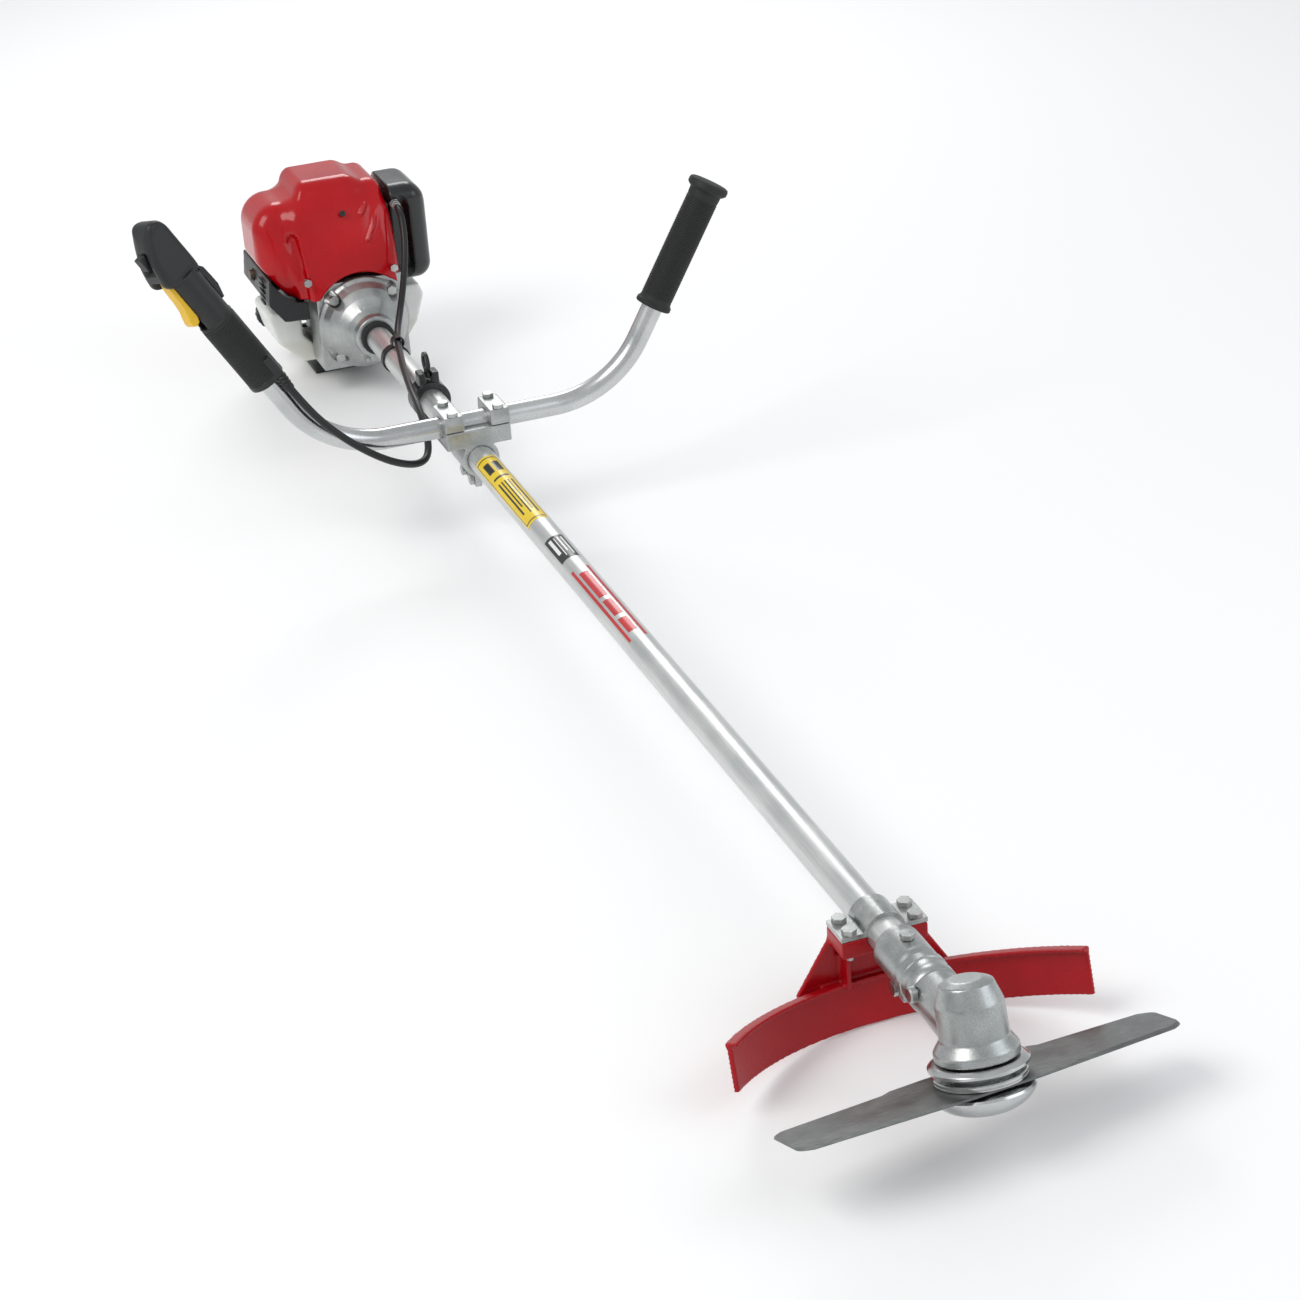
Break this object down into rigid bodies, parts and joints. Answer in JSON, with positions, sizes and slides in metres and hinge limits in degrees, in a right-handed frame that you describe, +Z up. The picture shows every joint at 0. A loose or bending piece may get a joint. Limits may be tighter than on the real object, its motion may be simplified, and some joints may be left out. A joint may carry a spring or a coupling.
{
  "type": "brush cutter",
  "caption": "Petrol brush cutter: engine with red cover, long straight tube, cow-horn handlebar, guard, angled gear head and flat two-tooth blade.",
  "frame": {"origin": "on the sole of the engine's stand, under the cylinder, on the ground", "axes": "+X along the tube towards the blade, +Y to the operator's left, +Z up"},
  "size_m": [1.8032, 0.6122, 0.3877],
  "materials": {
    "anodised_tube": "satin anodised",
    "black_plastic": "moulded",
    "black_rubber": "moulded, ribbed",
    "black_steel": "powder coated",
    "blade_steel": "ground spring steel",
    "brass": "machined",
    "bright_steel": "turned, bright",
    "cast_aluminium": "as cast",
    "foam": "open-cell foam",
    "guard_red": "moulded",
    "muffler_steel": "heat tinted",
    "plug_ceramic": "glazed ceramic and steel",
    "polished_aluminium": "polished",
    "red_plastic": "glossy moulded",
    "rope": "braided",
    "sintered_shoe": "sintered",
    "steel": "machined",
    "white_tank": "translucent",
    "yellow_plastic": "moulded",
    "zinc_fasteners": "zinc plated"
  },
  "bodies": {
    "root": {"shaft_tube": "anodised_tube", "shaft_bushes": "black_rubber", "drum_bearings": "steel", "clutch_case": "cast_aluminium", "clutch_case_bolts": "zinc_fasteners", "clutch_shoes": "sintered_shoe", "flywheel": "cast_aluminium", "crankshaft": "steel", "connecting_rod": "cast_aluminium", "piston": "cast_aluminium", "engine_block": "cast_aluminium", "spark_plug": "plug_ceramic", "ignition_coil": "black_plastic", "muffler": "muffler_steel", "fan_housing": "cast_aluminium", "lower_shroud": "black_plastic", "top_cover": "red_plastic", "cover_screws": "zinc_fasteners", "carburettor": "cast_aluminium", "air_filter": "foam", "fuel_tank": "white_tank", "engine_stand": "black_steel", "recoil_case": "black_plastic", "cable_band": "black_plastic", "throttle_cable": "black_plastic", "hanger_clamp": "black_plastic", "bar_bracket": "cast_aluminium", "bar_caps": "cast_aluminium", "bar_bolts": "zinc_fasteners", "handlebar": "polished_aluminium", "plain_grip": "black_rubber", "throttle_housing": "black_plastic", "guard": "guard_red", "guard_bracket": "zinc_fasteners", "guard_screws": "zinc_fasteners", "gear_case": "cast_aluminium", "gear_case_screws": "zinc_fasteners", "pinion_bearings": "steel", "output_bearings": "steel"},
    "drive_line": {"drive_shaft": "steel", "clutch_drum": "steel", "pinion_gear": "steel"},
    "output": {"bevel_gear": "steel", "blade_holder": "bright_steel", "blade": "blade_steel", "stabiliser_bowl": "bright_steel", "blade_nut": "zinc_fasteners"},
    "trigger": {"throttle_trigger": "yellow_plastic"},
    "lock_lever": {"trigger_lock": "black_plastic"},
    "switch": {"stop_switch": "black_plastic"},
    "throttle": {"throttle_valve": "brass"},
    "choke": {"choke_lever": "black_plastic"},
    "primer": {"primer_bulb": "black_rubber"},
    "pulley": {"recoil_pulley": "steel"},
    "starter": {"starter_grip": "black_plastic", "starter_rope": "rope"},
    "fuel_lid": {"fuel_cap": "black_plastic"},
    "oil_lid": {"oil_cap": "black_plastic"},
    "cleaner_lid": {"air_cleaner_cover": "black_plastic"},
    "harness_eye": {"hanger_ring": "black_steel"}
  },
  "joints": [
    {"name": "blade_spin", "type": "hinge", "parent": "root", "child": "output", "pos_m": [1.68, 0, 0.084], "axis": [0.3133, 0, -0.9496], "continuous": true},
    {"name": "shaft_spin", "type": "hinge", "parent": "root", "child": "drive_line", "pos_m": [1.2, 0, 0.084], "axis": [1, 0, 0], "continuous": true},
    {"name": "trigger_pull", "type": "hinge", "parent": "root", "child": "trigger", "pos_m": [0.53732, -0.27819, 0.32271], "axis": [0.8829, 0.4045, 0.2383], "range_deg": [0, 18], "stiffness_Nm_per_rad": 0.25, "springref_deg": -11.46},
    {"name": "throttle_turn", "type": "hinge", "parent": "root", "child": "throttle", "pos_m": [0.018, 0.05, 0.17], "axis": [0, 0, 1], "range_deg": [0, 80]},
    {"name": "lock_press", "type": "hinge", "parent": "root", "child": "lock_lever", "pos_m": [0.52746, -0.25714, 0.32351], "axis": [-0.8829, -0.4045, -0.2383], "range_deg": [0, 7], "stiffness_Nm_per_rad": 0.1, "springref_deg": -11.46},
    {"name": "switch_slide", "type": "slide", "parent": "root", "child": "switch", "axis": [0, -0.5075, 0.8616], "range_m": [0, 0.006]},
    {"name": "choke_turn", "type": "hinge", "parent": "root", "child": "choke", "pos_m": [0.03, 0.068, 0.176], "axis": [0, -1, 0], "range_deg": [0, 60]},
    {"name": "primer_press", "type": "slide", "parent": "root", "child": "primer", "axis": [0, -1, 0], "range_m": [0, 0.003], "stiffness_N_per_m": 400},
    {"name": "pulley_turn", "type": "hinge", "parent": "root", "child": "pulley", "pos_m": [-0.048, 0, 0.084], "axis": [1, 0, 0], "range_deg": [0, 1600]},
    {"name": "starter_pull", "type": "slide", "parent": "root", "child": "starter", "axis": [0, 0, 1], "range_m": [0, 0.6], "stiffness_N_per_m": 8, "springref_m": -0.3, "deforming": ["starter_rope"]},
    {"name": "fuel_cap_turn", "type": "hinge", "parent": "root", "child": "fuel_lid", "pos_m": [-0.0175, -0.08, 0.066], "axis": [-1, 0, 0], "range_deg": [0, 360]},
    {"name": "oil_cap_turn", "type": "hinge", "parent": "root", "child": "oil_lid", "pos_m": [0.018, 0.046, 0.086], "axis": [0, 1, 0], "range_deg": [0, 360]},
    {"name": "cleaner_off", "type": "slide", "parent": "root", "child": "cleaner_lid", "axis": [0, 1, 0], "range_m": [0, 0.06]},
    {"name": "eye_swing", "type": "hinge", "parent": "root", "child": "harness_eye", "pos_m": [0.372, 0, 0.111], "axis": [0, 1, 0], "range_deg": [-30, 30]}
  ],
  "couplings": [
    {"joint": "shaft_spin", "follows": "blade_spin", "ratio": -1.3571},
    {"joint": "throttle_turn", "follows": "trigger_pull", "ratio": 4.2},
    {"joint": "pulley_turn", "follows": "starter_pull", "rad_per_m": 45.455}
  ]
}
